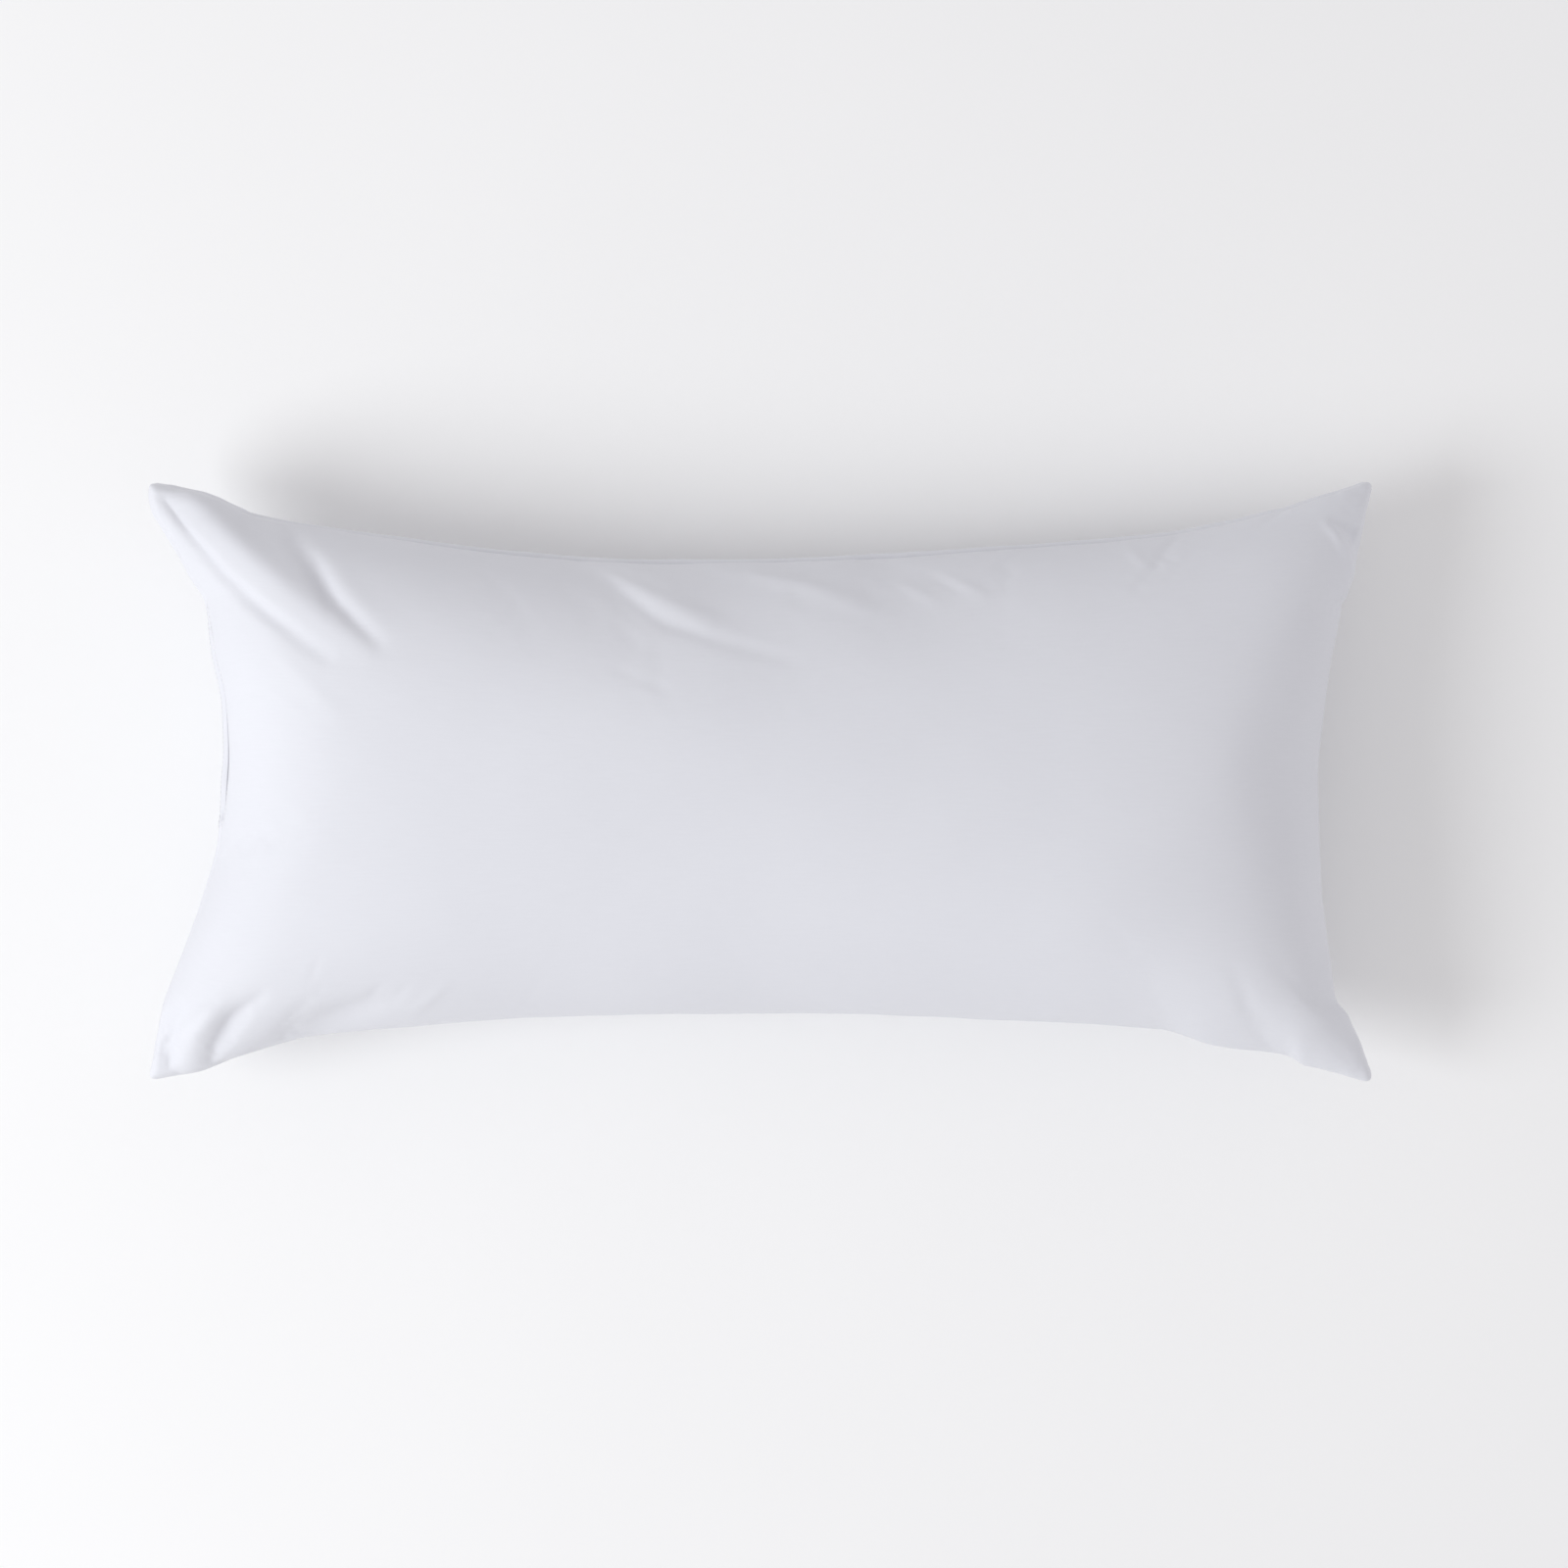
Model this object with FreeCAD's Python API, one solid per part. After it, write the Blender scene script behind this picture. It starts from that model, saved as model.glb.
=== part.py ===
import FreeCAD, Part

import math
import os

# A zipped bed pillow, lying face up on a flat surface. Millimetres.
# +X is the length, +Y the width and +Z up. The origin is on the resting surface, under the
# middle of the pillow. The zip is in the short side at -X.

V = FreeCAD.Vector

# ---- the stuffed cover ----
tip_length = 789.0          # corner tip to corner tip along X
tip_width = 388.0           # corner tip to corner tip along Y
pull_in_left = 48.0         # how far the middle of each side is drawn in from its two tips
pull_in_right = 35.0
pull_in_back = 50.0
pull_in_front = 42.0
seam_height = 80.0          # the edge seam above the resting surface
crown_rise = 106.0          # top of the crown above the seam
belly_drop = 112.0          # how far the belly would hang below the seam if nothing held it up
edge_turn = math.radians(80)  # how far each panel turns towards upright at its edge
end_fullness = 1.7          # above 1, the thickness holds longer towards the two ends
side_fullness = 1.15        # the same towards the two long sides

# ---- cloth, seams and layers ----
cover_cloth = 0.8           # thickness of one layer of the cover
edge_wall = 1.2             # width of the cover's closed edge at the seam
layer_gap = 1.2             # free space between one layer and the next
seam_gap = 0.6              # free space round a seam allowance
allowance_width = 9.0
allowance_thickness = 1.6
overlock_width = 2.0
overlock_thickness = 2.4
seam_end = 0.90             # how far along its side each allowance runs, as a share of the half side
insert_inset = 20.0         # the inner pillow's edge, in from the cover's edge
ticking_cloth = 0.8
ticking_edge_wall = 1.2
batting_thickness = 14.0
batting_inset = 17.0        # the batting's edge, in from the ticking's edge
core_inset = 14.0           # the loose core's edge, in from the batting's edge

# ---- closure in the short side at -X ----
opening_start = -32.0       # Y of the opening's two ends
opening_end = 116.0
seam_margin = 2.0           # the seam allowances stop this far from the opening
lip_clearance = 1.0         # slider to lip
zip_inset = 10.0            # the chain's centre, in from the cover's edge
end_room = 16.0             # from each end of the opening to the middle of the parked slider
chain_overrun = 3.0         # the chain runs this far past the slider's two end positions
coil_pitch = 1.4
coil_wire = 0.8             # length of one coil turn along the zip
coil_height = 1.8
coil_thickness = 1.8
coil_parting = 1.2          # free width between the two coils, where the slider's post runs
tape_thickness = 0.5
tape_height = 9.6           # one tape, from the coil to its free edge
hem_thickness = 1.0
hem_gap = 0.3
hem_height = 5.0
stitch_length = 2.4
stitch_pitch = 3.2
stitch_thickness = 0.3
stitch_level = 9.0          # height of the stitch rows above and below the chain
bartack_length = 2.0
bartack_thickness = 1.2
stop_length = 2.0
stop_thickness = 2.4

# ---- slider and pull tab ----
slider_length = 9.0
slider_plate = 1.2
slider_clearance = 0.4      # slider plate to coil
flange_clearance = 0.6      # slider flange to coil
tape_clearance = 0.3        # slider flange to tape
flange_width = 1.2
post_width = 0.5
post_length = 2.5
lug_thickness = 1.0
lug_length = 2.6
pin_radius = 0.5
pin_clearance = 0.15
tab_eye_radius = 1.3
tab_eye_clearance = 0.6     # the tab's eye to the slider's outer plate
tab_side_clearance = 0.3
tab_thickness = 1.2
tab_length = 11.0
tab_width = 4.4

# ---- care label, between the cover and the inner pillow ----
label_length = 45.0
label_width = 30.0
label_thickness = 0.3
label_x = -250.0

half_length = tip_length / 2
half_width = tip_width / 2

# The middle of the drawn-in short side is an arc of this radius, about a point beyond the pillow.
side_radius = half_width ** 2 / (2 * pull_in_left)
arc_centre_x = -half_length + pull_in_left - side_radius
zip_radius = side_radius + zip_inset
slider_closed = opening_end - end_room
slider_open = opening_start + end_room


# ---------------------------------------------------------------- crowned panels

def spread(turn):
    """Plan position for a surface parameter: both run from -1 to 1."""
    return math.sin(edge_turn * turn) / math.sin(edge_turn)


def rise(turn, fullness):
    """Share of the full height for a surface parameter: 0 at the edge and 1 in the middle."""
    height = (math.cos(edge_turn * turn) - math.cos(edge_turn)) / (1 - math.cos(edge_turn))
    return 1 - (1 - height) ** fullness


def plan_point(u, v, inset, z):
    """The point at u along X and v along Y, each from -1 to 1, of the drawn-in outline."""
    x = u * (half_length - inset)
    y = v * (half_width - inset)
    ends = 1 - (y / half_width) ** 2
    sides = 1 - (x / half_length) ** 2
    x_shift = ends * (pull_in_left * (1 - u) - pull_in_right * (1 + u)) / 2
    y_shift = sides * (pull_in_front * (1 - v) - pull_in_back * (1 + v)) / 2
    return V(x + x_shift, y + y_shift, z)


def retreat(level, y):
    """How far in from its short edge the top panel has come at this level above the seam."""
    across = math.asin(y / half_width * math.sin(edge_turn)) / edge_turn
    share = level / crown_rise / rise(across, side_fullness)
    height = 1 - (1 - share) ** (1 / end_fullness)
    turn = math.acos(math.cos(edge_turn) + height * (1 - math.cos(edge_turn))) / edge_turn
    return (1 - spread(turn)) * half_length


def knots_for(count):
    """Even knots from -1 to 1 for a cubic with this many control points."""
    spans = count - 3
    return [2.0 * i / spans - 1 for i in range(spans + 1)]


def pole_places(count):
    """Parameters at which the control points of a cubic with even knots sit."""
    knots = knots_for(count)
    full = [knots[0]] * 3 + knots + [knots[-1]] * 3
    return [sum(full[i + 1:i + 4]) / 3 for i in range(count)]


def top_of_curve(places, fullness):
    """How high a cubic on these control points comes in its middle."""
    middle = len(places) // 2
    before, at, after = (rise(place, fullness) for place in places[middle - 1:middle + 2])
    return (before + 4 * at + after) / 6


def crowned_face(inset, height, x_count=19, y_count=13):
    """A panel's surface: its middle stands exactly this high above the seam, or below it."""
    x_places = pole_places(x_count)
    y_places = pole_places(y_count)
    pole_height = height / top_of_curve(x_places, end_fullness) / top_of_curve(y_places, side_fullness)
    poles = []
    for s in x_places:
        row = []
        for t in y_places:
            level = seam_height + pole_height * rise(s, end_fullness) * rise(t, side_fullness)
            row.append(plan_point(spread(s), spread(t), inset, level))
        poles.append(row)
    x_knots = knots_for(x_count)
    y_knots = knots_for(y_count)
    surface = Part.BSplineSurface()
    surface.buildFromPolesMultsKnots(
        poles,
        [4] + [1] * (len(x_knots) - 2) + [4],
        [4] + [1] * (len(y_knots) - 2) + [4],
        x_knots, y_knots, False, False, 3, 3)
    return surface.toShape()


def half_body(inset, height):
    """One crowned half, closed by a flat face in the seam's plane."""
    crown = crowned_face(inset, height)
    cap = Part.Face(Part.Wire(Part.__sortEdges__(crown.Edges)))
    shell = Part.makeShell([crown, cap])
    shell.sewShape()
    solid = Part.makeSolid(shell)
    if solid.Volume < 0:
        solid.reverse()
    return solid


def slab(low_z, high_z):
    """A block far wider than the pillow, between two heights."""
    return Part.makeBox(2 * tip_length, 2 * tip_width, high_z - low_z, V(-tip_length, -tip_width, low_z))


def upper(inset, sink):
    """The top half of the layer that lies this far in from the edge and below the crown."""
    return half_body(inset, crown_rise - sink)


def lower(inset, sink):
    """The bottom half of a layer, flat where it rests, this far above the resting surface."""
    return half_body(inset, sink - belly_drop).cut(slab(-belly_drop, sink))


# ---------------------------------------------------------------- seam strips

def side_curve(side, start, end, inset, z):
    """A stretch of one side, start to end, each a share of the half side from -1 to 1."""
    count = 17
    points = []
    for i in range(count):
        share = start + (end - start) * i / (count - 1)
        if side in ("left", "right"):
            u = -1 if side == "left" else 1
            points.append(plan_point(u, share, inset, z))
        else:
            v = -1 if side == "front" else 1
            points.append(plan_point(share, v, inset, z))
    curve = Part.BSplineCurve()
    curve.interpolate(points)
    return curve.toShape()


def seam_strip(side, start, end, inset, width, thickness):
    """A flat strip along a side, centred on the seam's plane."""
    low_z = seam_height - thickness / 2
    outer = side_curve(side, start, end, inset, low_z)
    inner = side_curve(side, start, end, inset + width, low_z)
    first_end = Part.makeLine(outer.firstVertex().Point, inner.firstVertex().Point)
    last_end = Part.makeLine(outer.lastVertex().Point, inner.lastVertex().Point)
    face = Part.Face(Part.Wire(Part.__sortEdges__([outer, inner, first_end, last_end])))
    return face.extrude(V(0, 0, thickness))


# ---------------------------------------------------------------- closure, on its arc

def arc_angle(y):
    """The turn about the arc's centre that brings a point on the chain to this Y."""
    return math.degrees(math.asin(y / zip_radius))


def along_arc(profile, start_y, end_y):
    """A solid swept along the zip. Profile points are (in from the chain's centre, above the seam)."""
    points = [V(arc_centre_x + zip_radius + across, 0, seam_height + level) for across, level in profile]
    wire = Part.makePolygon(points + [points[0]])
    turn = arc_angle(end_y) - arc_angle(start_y)
    swept = Part.Face(wire).revolve(V(arc_centre_x, 0, 0), V(0, 0, 1), turn)
    swept.rotate(V(arc_centre_x, 0, 0), V(0, 0, 1), arc_angle(start_y))
    return swept


def arc_block(across, level, start_y, end_y):
    """A block along the zip, given its two faces across it and its two levels."""
    corners = [(across[0], level[0]), (across[1], level[0]), (across[1], level[1]), (across[0], level[1])]
    return along_arc(corners, start_y, end_y)


def mirrored(shape):
    """The same piece below the seam's plane."""
    return shape.mirror(V(0, 0, seam_height), V(0, 0, 1))


def at_chain(shape, y):
    """Moves a piece made at the origin, with -X outwards, onto the chain at this Y."""
    shape.translate(V(arc_centre_x + zip_radius, 0, seam_height))
    shape.rotate(V(arc_centre_x, 0, 0), V(0, 0, 1), arc_angle(y))
    return shape


def repeated(make, start_y, pitch, count):
    """Pieces side by side along the zip."""
    return Part.makeCompound([make(start_y + i * pitch) for i in range(count)])


chain_start = slider_open - slider_length / 2 - chain_overrun
chain_length = slider_closed - slider_open + slider_length + 2 * chain_overrun
coil_turns = round(chain_length / coil_pitch)
chain_end = chain_start + (coil_turns - 1) * coil_pitch + coil_wire
coil_low = coil_parting / 2
coil_high = coil_low + coil_height
tape_top = coil_high + tape_height
slider_near = coil_thickness / 2 + slider_clearance     # the plates' inner and outer faces
slider_far = slider_near + slider_plate
slider_half = coil_high + flange_clearance + flange_width
pin_reach = slider_far + tab_eye_clearance + tab_eye_radius
lip_level = slider_half + lip_clearance


def closure_cut():
    """What the opening takes out of the cover between its two lips."""
    return arc_block((-2 * zip_inset, zip_inset), (-lip_level, lip_level), opening_start, opening_end)


def coil():
    def turn(y):
        return arc_block((-coil_thickness / 2, coil_thickness / 2), (coil_low, coil_high), y, y + coil_wire)
    return repeated(turn, chain_start, coil_pitch, coil_turns)


def tape():
    faces = (-tape_thickness / 2, tape_thickness / 2)
    return arc_block(faces, (coil_high, tape_top), opening_start, opening_end)


def hem():
    """The lip's turned-in edge: in from the lip, then up along the tape."""
    inner = -tape_thickness / 2 - hem_gap
    low = lip_level
    outer = -zip_inset + edge_wall + hem_gap + retreat(low + hem_thickness, opening_end)
    return along_arc([
        (outer, low), (inner, low), (inner, low + hem_height), (inner - hem_thickness, low + hem_height),
        (inner - hem_thickness, low + hem_thickness), (outer, low + hem_thickness)],
        opening_start, opening_end)


def tape_stitches():
    near = tape_thickness / 2
    level = (stitch_level - stitch_thickness, stitch_level + stitch_thickness)

    def stitch(y):
        return arc_block((near, near + stitch_thickness), level, y, y + stitch_length)
    count = int((opening_end - opening_start) / stitch_pitch) - 2
    row = repeated(stitch, opening_start + stitch_pitch, stitch_pitch, count)
    return Part.makeCompound([row, mirrored(row)])


def bartacks():
    across = (-tape_thickness / 2 - bartack_thickness, -tape_thickness / 2)
    level = (-lip_level + hem_gap, lip_level - hem_gap)
    first = arc_block(across, level, opening_start, opening_start + bartack_length)
    last = arc_block(across, level, opening_end - bartack_length, opening_end)
    return Part.makeCompound([first, last])


def stop(start_y):
    """A clip across both coils."""
    half = stop_thickness / 2
    return arc_block((-half, half), (-coil_high, coil_high), start_y, start_y + stop_length)


def slider():
    near, far, half = slider_near, slider_far, slider_half
    tape_side = tape_thickness / 2 + tape_clearance

    def block(x_low, x_high, length, z_low, z_high, y_middle=0.0):
        return Part.makeBox(x_high - x_low, length, z_high - z_low, V(x_low, y_middle - length / 2, z_low))
    outer_plate = block(-far, -near, slider_length, -half, half)
    inner_plate = block(near, far, slider_length, -half, half)
    rounding = half / 2
    plates = [
        plate.makeFillet(rounding, [e for e in plate.Edges if abs(e.tangentAt(e.FirstParameter).x) > 0.99])
        for plate in (outer_plate, inner_plate)
    ]
    flange_length = slider_length - 2 * rounding
    flanges = [
        block(x_low, x_high, flange_length, z_low, z_low + flange_width)
        for x_low, x_high in ((-near, -tape_side), (tape_side, near))
        for z_low in (-half, half - flange_width)
    ]
    post = block(-near, near, post_length, -post_width / 2, post_width / 2)
    lug_near = tab_width / 2 - lug_thickness + tab_side_clearance
    lug_foot = block(-pin_reach, -far, lug_length, lug_near, lug_near + lug_thickness)
    lug_head = Part.makeCylinder(lug_length / 2, lug_thickness, V(-pin_reach, 0, lug_near))
    lug = lug_foot.fuse(lug_head)
    lugs = [lug, lug.mirror(V(0, 0, 0), V(0, 0, 1))]
    pin_span = lug_near + lug_thickness / 2
    pin = Part.makeCylinder(pin_radius, 2 * pin_span, V(-pin_reach, 0, -pin_span))
    body = plates[0].multiFuse([plates[1], post, pin] + flanges + lugs)
    return body.removeSplitter()


def pull_tab():
    """The tab at rest, pointing back along the closed chain."""
    eye_half = tab_width / 2 - lug_thickness
    eye = Part.makeCylinder(tab_eye_radius, 2 * eye_half, V(-pin_reach, 0, -eye_half))
    x_low = -pin_reach - tab_thickness / 2
    neck_length = lug_length / 2 + tab_side_clearance + tab_eye_radius
    neck = Part.makeBox(tab_thickness, neck_length, 2 * eye_half, V(x_low, -neck_length, -eye_half))
    grip_length = tab_length - neck_length + tab_eye_radius
    grip = Part.makeBox(tab_thickness, grip_length, tab_width, V(x_low, -tab_length, -tab_width / 2))
    across = [e for e in grip.Edges if abs(e.tangentAt(e.FirstParameter).x) > 0.99]
    grip = grip.makeFillet(tab_width / 5, across)
    hole = Part.makeCylinder(pin_radius + pin_clearance, tab_width, V(-pin_reach, 0, -tab_width / 2))
    return eye.multiFuse([neck, grip]).removeSplitter().cut(hole)


# ---------------------------------------------------------------- the pieces

def cover_panel(half):
    return half(0, 0).cut(half(edge_wall, cover_cloth)).cut(closure_cut())


def ticking_panel(half):
    sink = cover_cloth + layer_gap
    inner_inset = insert_inset + ticking_edge_wall
    return half(insert_inset, sink).cut(half(inner_inset, sink + ticking_cloth))


batting_edge = insert_inset + batting_inset
batting_sink = cover_cloth + ticking_cloth + 2 * layer_gap


def batting_wrap(half):
    inner = half(batting_edge + core_inset, batting_sink + batting_thickness)
    return half(batting_edge, batting_sink).cut(inner)


def fill_core():
    inset = batting_edge + core_inset + layer_gap
    sink = batting_sink + batting_thickness + layer_gap
    top = upper(inset, sink)
    return top.fuse(lower(inset, sink)).removeSplitter()


seam_step = seam_gap + retreat(allowance_thickness / 2, seam_end * half_width)
cover_seam_inset = edge_wall + seam_step
left_inner_half = half_width - cover_seam_inset - allowance_width - overlock_width
side_ends = {
    "cover_seam_back": ("back", -seam_end, seam_end),
    "cover_seam_front": ("front", -seam_end, seam_end),
    "cover_seam_right": ("right", -seam_end, seam_end),
    "cover_seam_left_front": ("left", -seam_end, (opening_start - seam_margin) / left_inner_half),
    "cover_seam_left_back": ("left", (opening_end + seam_margin) / left_inner_half, seam_end),
}


def overlock():
    inset = cover_seam_inset + allowance_width
    strips = [
        seam_strip(side, start, end, inset, overlock_width, overlock_thickness)
        for side, start, end in side_ends.values()
    ]
    return Part.makeCompound(strips)


def ticking_seam():
    inset = insert_inset + ticking_edge_wall + seam_step
    strips = [
        seam_strip(side, -seam_end, seam_end, inset, allowance_width, allowance_thickness)
        for side in ("back", "front", "right", "left")
    ]
    return Part.makeCompound(strips)


def care_label():
    """A blank label, sewn in at the front seam and lying against the inner pillow."""
    sink = cover_cloth + (layer_gap - label_thickness) / 2
    skin = upper(insert_inset - seam_gap, sink).cut(upper(insert_inset - seam_gap, sink + label_thickness))
    column = Part.makeBox(
        label_width, label_length, 2 * crown_rise,
        V(label_x - label_width / 2, -half_width + pull_in_front + insert_inset, seam_height + label_thickness))
    return skin.common(column)


nodes = {
    "cover_top_panel": cover_panel(upper),
    "cover_bottom_panel": cover_panel(lower),
    "overlock_stitching": overlock(),
    "closure_hem_upper": hem(),
    "closure_hem_lower": mirrored(hem()),
    "closure_bartacks": bartacks(),
    "zip_tape_upper": tape(),
    "zip_tape_lower": mirrored(tape()),
    "zip_tape_stitching": tape_stitches(),
    "zip_coil_upper": coil(),
    "zip_coil_lower": mirrored(coil()),
    "zip_top_stop": stop(chain_end),
    "zip_bottom_stop": stop(chain_start - stop_length),
    "zip_slider": at_chain(slider(), slider_closed),
    "zip_pull_tab": at_chain(pull_tab(), slider_closed),
    "care_label": care_label(),
    "ticking_top_panel": ticking_panel(upper),
    "ticking_bottom_panel": ticking_panel(lower),
    "ticking_seam": ticking_seam(),
    "batting_wrap_top": batting_wrap(upper),
    "batting_wrap_bottom": batting_wrap(lower),
    "fill_core": fill_core(),
}
for name, (side, start, end) in side_ends.items():
    nodes[name] = seam_strip(side, start, end, cover_seam_inset, allowance_width, allowance_thickness)

os.makedirs("parts", exist_ok=True)
for name, shape in nodes.items():
    shape.exportStep(f"parts/{name}.step")
    box = shape.BoundBox
    print(f"{name:24s} solids {len(shape.Solids):3d} valid {shape.isValid()} "
          f"volume {shape.Volume:12.1f} x {box.XMin:.1f}..{box.XMax:.1f} "
          f"y {box.YMin:.1f}..{box.YMax:.1f} z {box.ZMin:.1f}..{box.ZMax:.1f}")
rest_angle = arc_angle(slider_closed)
tab_pin = V(arc_centre_x + zip_radius - pin_reach, 0, seam_height)
tab_pin = Part.Vertex(tab_pin)
tab_pin.rotate(V(arc_centre_x, 0, 0), V(0, 0, 1), rest_angle)
print(f"slider turns about x {arc_centre_x:.4f}, y 0, through {rest_angle - arc_angle(slider_open):.4f} degrees")
print(f"pull tab turns about x {tab_pin.X:.4f}, y {tab_pin.Y:.4f}, z {tab_pin.Z:.4f}")
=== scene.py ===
import bpy
import numpy as np
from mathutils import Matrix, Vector


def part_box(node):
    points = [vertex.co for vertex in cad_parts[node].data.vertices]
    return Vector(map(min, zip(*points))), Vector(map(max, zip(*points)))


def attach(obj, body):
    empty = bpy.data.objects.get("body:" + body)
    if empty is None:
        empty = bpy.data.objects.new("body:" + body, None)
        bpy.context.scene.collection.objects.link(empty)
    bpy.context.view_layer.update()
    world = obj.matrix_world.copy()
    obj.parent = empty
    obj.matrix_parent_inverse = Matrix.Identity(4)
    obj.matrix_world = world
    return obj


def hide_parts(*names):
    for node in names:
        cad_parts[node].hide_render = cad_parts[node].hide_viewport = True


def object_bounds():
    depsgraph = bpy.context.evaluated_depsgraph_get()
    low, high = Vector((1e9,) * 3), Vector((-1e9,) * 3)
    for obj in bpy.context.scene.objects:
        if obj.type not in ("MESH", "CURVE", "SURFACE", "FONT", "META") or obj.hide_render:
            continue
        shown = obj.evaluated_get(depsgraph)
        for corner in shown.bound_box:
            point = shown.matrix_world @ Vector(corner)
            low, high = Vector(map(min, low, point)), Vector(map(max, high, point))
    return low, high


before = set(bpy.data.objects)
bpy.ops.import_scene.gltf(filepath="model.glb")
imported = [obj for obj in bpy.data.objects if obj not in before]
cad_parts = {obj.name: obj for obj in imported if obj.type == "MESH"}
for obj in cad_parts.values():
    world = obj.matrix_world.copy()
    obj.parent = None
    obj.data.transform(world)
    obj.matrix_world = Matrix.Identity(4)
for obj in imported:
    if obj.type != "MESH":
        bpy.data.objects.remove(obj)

# A bed pillow lying face up. The cover is two sheets of cloth, sewn together all round and blown
# up by cloth simulation, then fitted to the pillow's outline and laid on the floor. Along part of
# its -X end the seam is left open and closed by a zip, whose hard parts are the CAD's own.

cad_low, cad_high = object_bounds()
MM = 0.001
half_length = cad_high.x
half_width = cad_high.y
seam_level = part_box("cover_top_panel")[0].z
crown_level = cad_high.z
crown_rise = crown_level - seam_level
opening_start, opening_end = (corner.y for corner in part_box("closure_hem_upper"))
lip_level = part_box("closure_hem_upper")[0].z - seam_level

CAMERA_HEIGHT = 3.79        # above the seam
cut_length = 0.800          # the cover's cut size, before it is stuffed
cut_width = 0.400
chord_length = 0.353        # half the stuffed cover's length and width along its two middles
chord_width = 0.146


# ---------------------------------------------------------------- outline of the stuffed cover

# How far each side is drawn in from the line between its two corner tips: (place along the
# side, drawn in), in millimetres, with the small kinks at the closure and near the corners.
drawn_in = {
    "left": [(-192, 0), (-153, 5), (-118, 18), (-77, 33.6), (-32, 45.5), (-1, 47), (18, 48), (49, 47),
             (87, 39), (116, 35.5), (131, 27), (155, 13), (166, 6.3), (176, 1), (184, -0.4), (192, 0)],
    "right": [(-192, 0), (-172, 5), (-153, 14), (-137, 23.5), (-128, 25), (-64, 33), (-1, 35), (54, 30),
              (112, 19), (140, 9.6), (192, 0)],
    "back": [(-394, 2), (-364, 5.7), (-339, 15), (-329, 19.6), (-240, 35), (-160, 45.5), (-73, 51),
             (0, 50.5), (59, 48.6), (142, 43.6), (255, 34), (331, 18.3), (394, 0)],
    "front": [(-394, 3), (-364, 6.3), (-339, 15.8), (-294, 28.4), (-212, 37.3), (-136, 42.3), (15, 44.8),
              (142, 41), (255, 34.7), (293, 24), (337, 17.7), (353, 10.7), (394, 1)],
}
# How far the seam lies inside the outline that shows from above, where a panel puffs out past it.
seam_inside = {"left": 2.2, "right": 1.6, "back": 3.0, "front": 1.0}
side_half = {"left": half_width, "right": half_width, "back": half_length, "front": half_length}
# A sheet's four corners: row, column, and the sign of each way outward.
corners = [(i, j, along, across) for i, along in ((0, -1), (-1, 1)) for j, across in ((0, -1), (-1, 1))]


def through(points, at):
    """A smooth curve through the points that never overshoots them."""
    x, y = np.array(points, float).T
    step = np.diff(x)
    slope = np.diff(y) / step
    before, after = slope[:-1], slope[1:]
    tangent = np.zeros(len(x))
    same_way = before * after > 0
    tangent[1:-1][same_way] = (2 * before * after)[same_way] / (before + after)[same_way]
    tangent[0], tangent[-1] = slope[0], slope[-1]
    i = np.clip(np.searchsorted(x, at) - 1, 0, len(step) - 1)
    t = np.clip((at - x[i]) / step[i], 0, 1)
    return ((1 + 2 * t) * (1 - t) ** 2 * y[i] + t * t * (3 - 2 * t) * y[i + 1]
            + t * (1 - t) ** 2 * step[i] * tangent[i] + t * t * (t - 1) * step[i] * tangent[i + 1])


def drawn(side, place):
    """How far the seam is drawn in along a side, at places in metres."""
    place = np.asarray(place)
    share = np.clip(abs(place) / side_half[side], 0, 1)
    return MM * (through(drawn_in[side], place / MM) + seam_inside[side] * (1 - share ** 8))


def seam_plan(u, v):
    """Plan position of the point u along and v across the cut, each from -1 to 1."""
    x_out = v * half_width
    y_out = u * half_length
    x = u * half_length + drawn("left", x_out) * (1 - u) / 2 - drawn("right", x_out) * (1 + u) / 2
    y = v * half_width + drawn("front", y_out) * (1 - v) / 2 - drawn("back", y_out) * (1 + v) / 2
    return x, y


# ---------------------------------------------------------------- cloth simulation of the cover

SIM_U, SIM_V = 160, 80      # cells along and across one sheet
SIM_FRAMES = 11
START_HEIGHT = 0.088        # of the dome that each sheet starts as
END_FULLNESS = 1.7          # how boxy the dome is along and across
SIDE_FULLNESS = 1.15

# Creases that the cloth starts with, so that its slack gathers where the real one's does:
# (line in plan, half width at its start and end, height), in millimetres; negative is a valley.
slack_creases = [
    ([(-382, 181), (-355, 148), (-324, 119), (-296, 97)], 7, 7, -3),
    ([(-370, 187), (-338, 155), (-304, 124), (-277, 104), (-255, 88)], 10, 10, 4),
    ([(-300, 150), (-288, 137), (-277, 119), (-262, 103)], 9, 9, -5),
    ([(-378, -158), (-382, -171), (-377, -183)], 7, 7, -6),
    ([(-321, -142), (-348, -166), (-356, -181)], 9, 9, -6),
    ([(-345, -140), (-365, -165)], 8, 8, 6),
    ([(-105, 141), (-66, 118), (-32, 103)], 7, 7, 6),
    ([(-100, 128), (-57, 98), (-26, 92), (20, 82)], 8, 8, -6),
    ([(-35, 138), (22, 128), (66, 110)], 9, 9, 6),
    ([(70, 138), (110, 120), (150, 115)], 9, 9, -6),
    ([(310, -137), (312, -152), (333, -170)], 8, 8, -3),
    ([(380, 163), (385, 140)], 7, 7, -6),
]


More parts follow.
